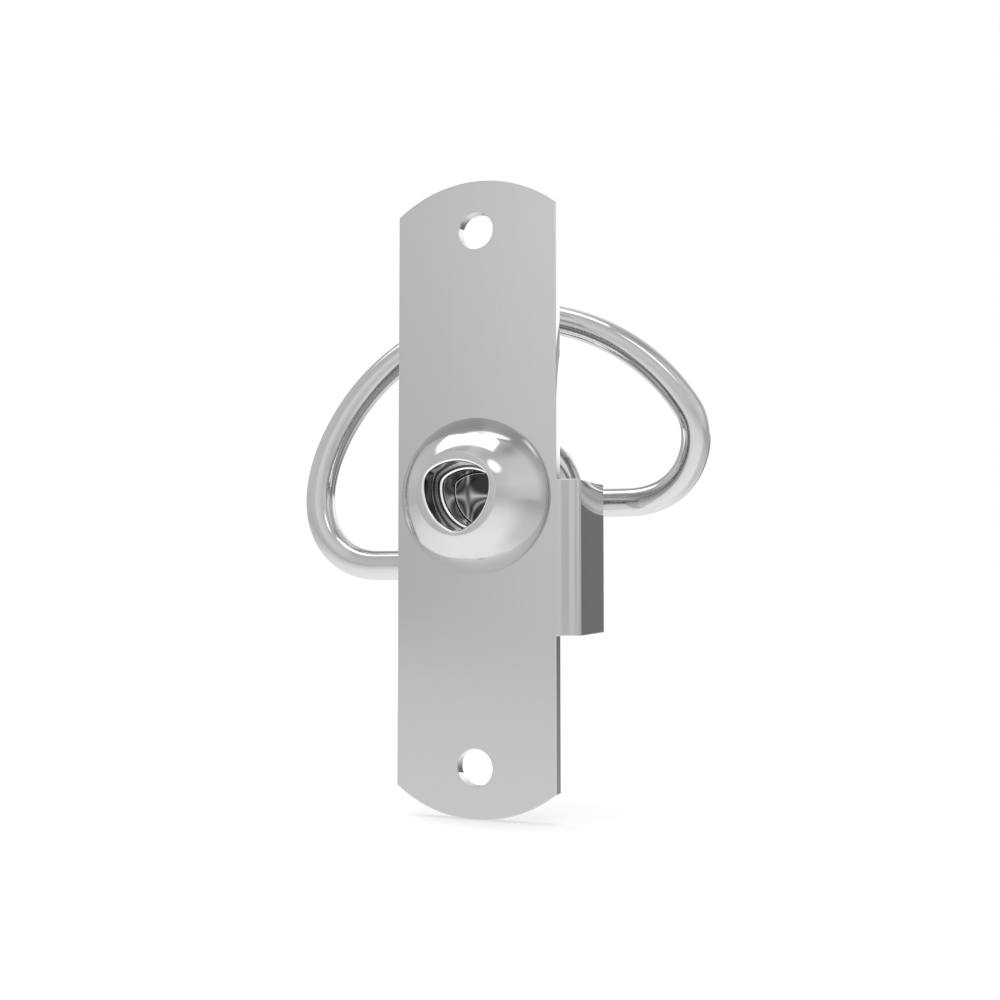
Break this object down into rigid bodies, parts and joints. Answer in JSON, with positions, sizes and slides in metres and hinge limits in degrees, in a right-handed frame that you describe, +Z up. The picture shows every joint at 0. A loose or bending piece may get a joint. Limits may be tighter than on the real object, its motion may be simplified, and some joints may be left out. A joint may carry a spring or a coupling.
{
  "type": "compression latch",
  "caption": "Key-turned compression latch: a narrow face plate with a side lug, a domed head with a three-cornered key opening, and a bent wire cam behind it.",
  "frame": {"origin": "on the spindle's axis, in the plane of the plate's mounting face, midway between the two screw holes", "axes": "+Z up along the plate, +X to the right as seen from the front, on the lug's side, +Y backwards into the cabinet along the spindle"},
  "size_m": [0.062, 0.0369, 0.094],
  "materials": {
    "satin_steel": "satin",
    "polished_head": "polished",
    "polished_wire": "polished",
    "polished_collar": "polished",
    "turned_steel": "turned",
    "spring_steel": "oiled",
    "sintered_steel": "sintered",
    "black_rubber": "matt"
  },
  "bodies": {
    "plate": {"mounting_plate": "satin_steel", "spindle_bush": "sintered_steel"},
    "cam": {"domed_head": "polished_head", "spindle": "turned_steel", "sealing_ring": "black_rubber", "wire_cam": "polished_wire", "spacer_sleeve": "turned_steel", "rear_collar": "polished_collar", "collar_pin": "spring_steel", "end_washer": "turned_steel", "retaining_ring": "spring_steel"}
  },
  "joints": [
    {"name": "cam_turn", "type": "hinge", "parent": "plate", "child": "cam", "pos_m": [0, 0, 0], "axis": [0, 1, 0], "range_deg": [-90, 90]}
  ]
}
